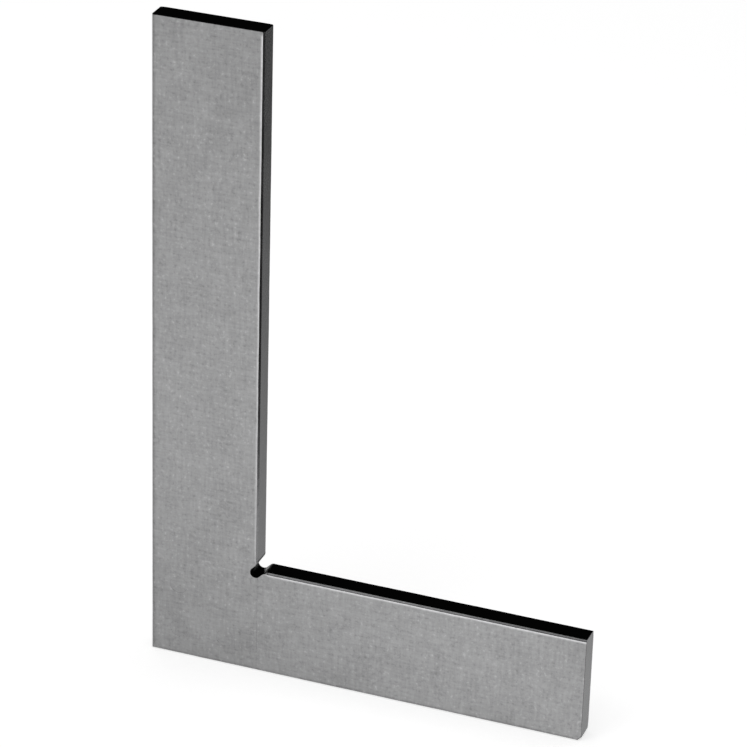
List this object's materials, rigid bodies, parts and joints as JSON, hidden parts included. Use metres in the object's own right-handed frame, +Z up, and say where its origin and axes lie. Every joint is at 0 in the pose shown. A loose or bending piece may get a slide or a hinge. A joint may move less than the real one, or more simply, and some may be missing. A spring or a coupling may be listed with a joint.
{
  "type": "steel square",
  "caption": "Flat L-shaped steel square with two ground legs at a right angle and a relief slot in the inner corner.",
  "frame": {"origin": "middle of the bottom edge that the square stands on, halfway through its thickness", "axes": "+X along the base leg away from the upright, +Y through the thickness from the front face to the back face, +Z up the upright leg"},
  "size_m": [0.1, 0.005, 0.15],
  "materials": {
    "ground_leg_steel": "fine ground satin",
    "rivet_steel": "ground flush with the legs"
  },
  "bodies": {
    "root": {"upright_leg": "ground_leg_steel", "base_leg": "ground_leg_steel", "corner_rivet_1": "rivet_steel", "corner_rivet_2": "rivet_steel", "corner_rivet_3": "rivet_steel"}
  },
  "joints": []
}
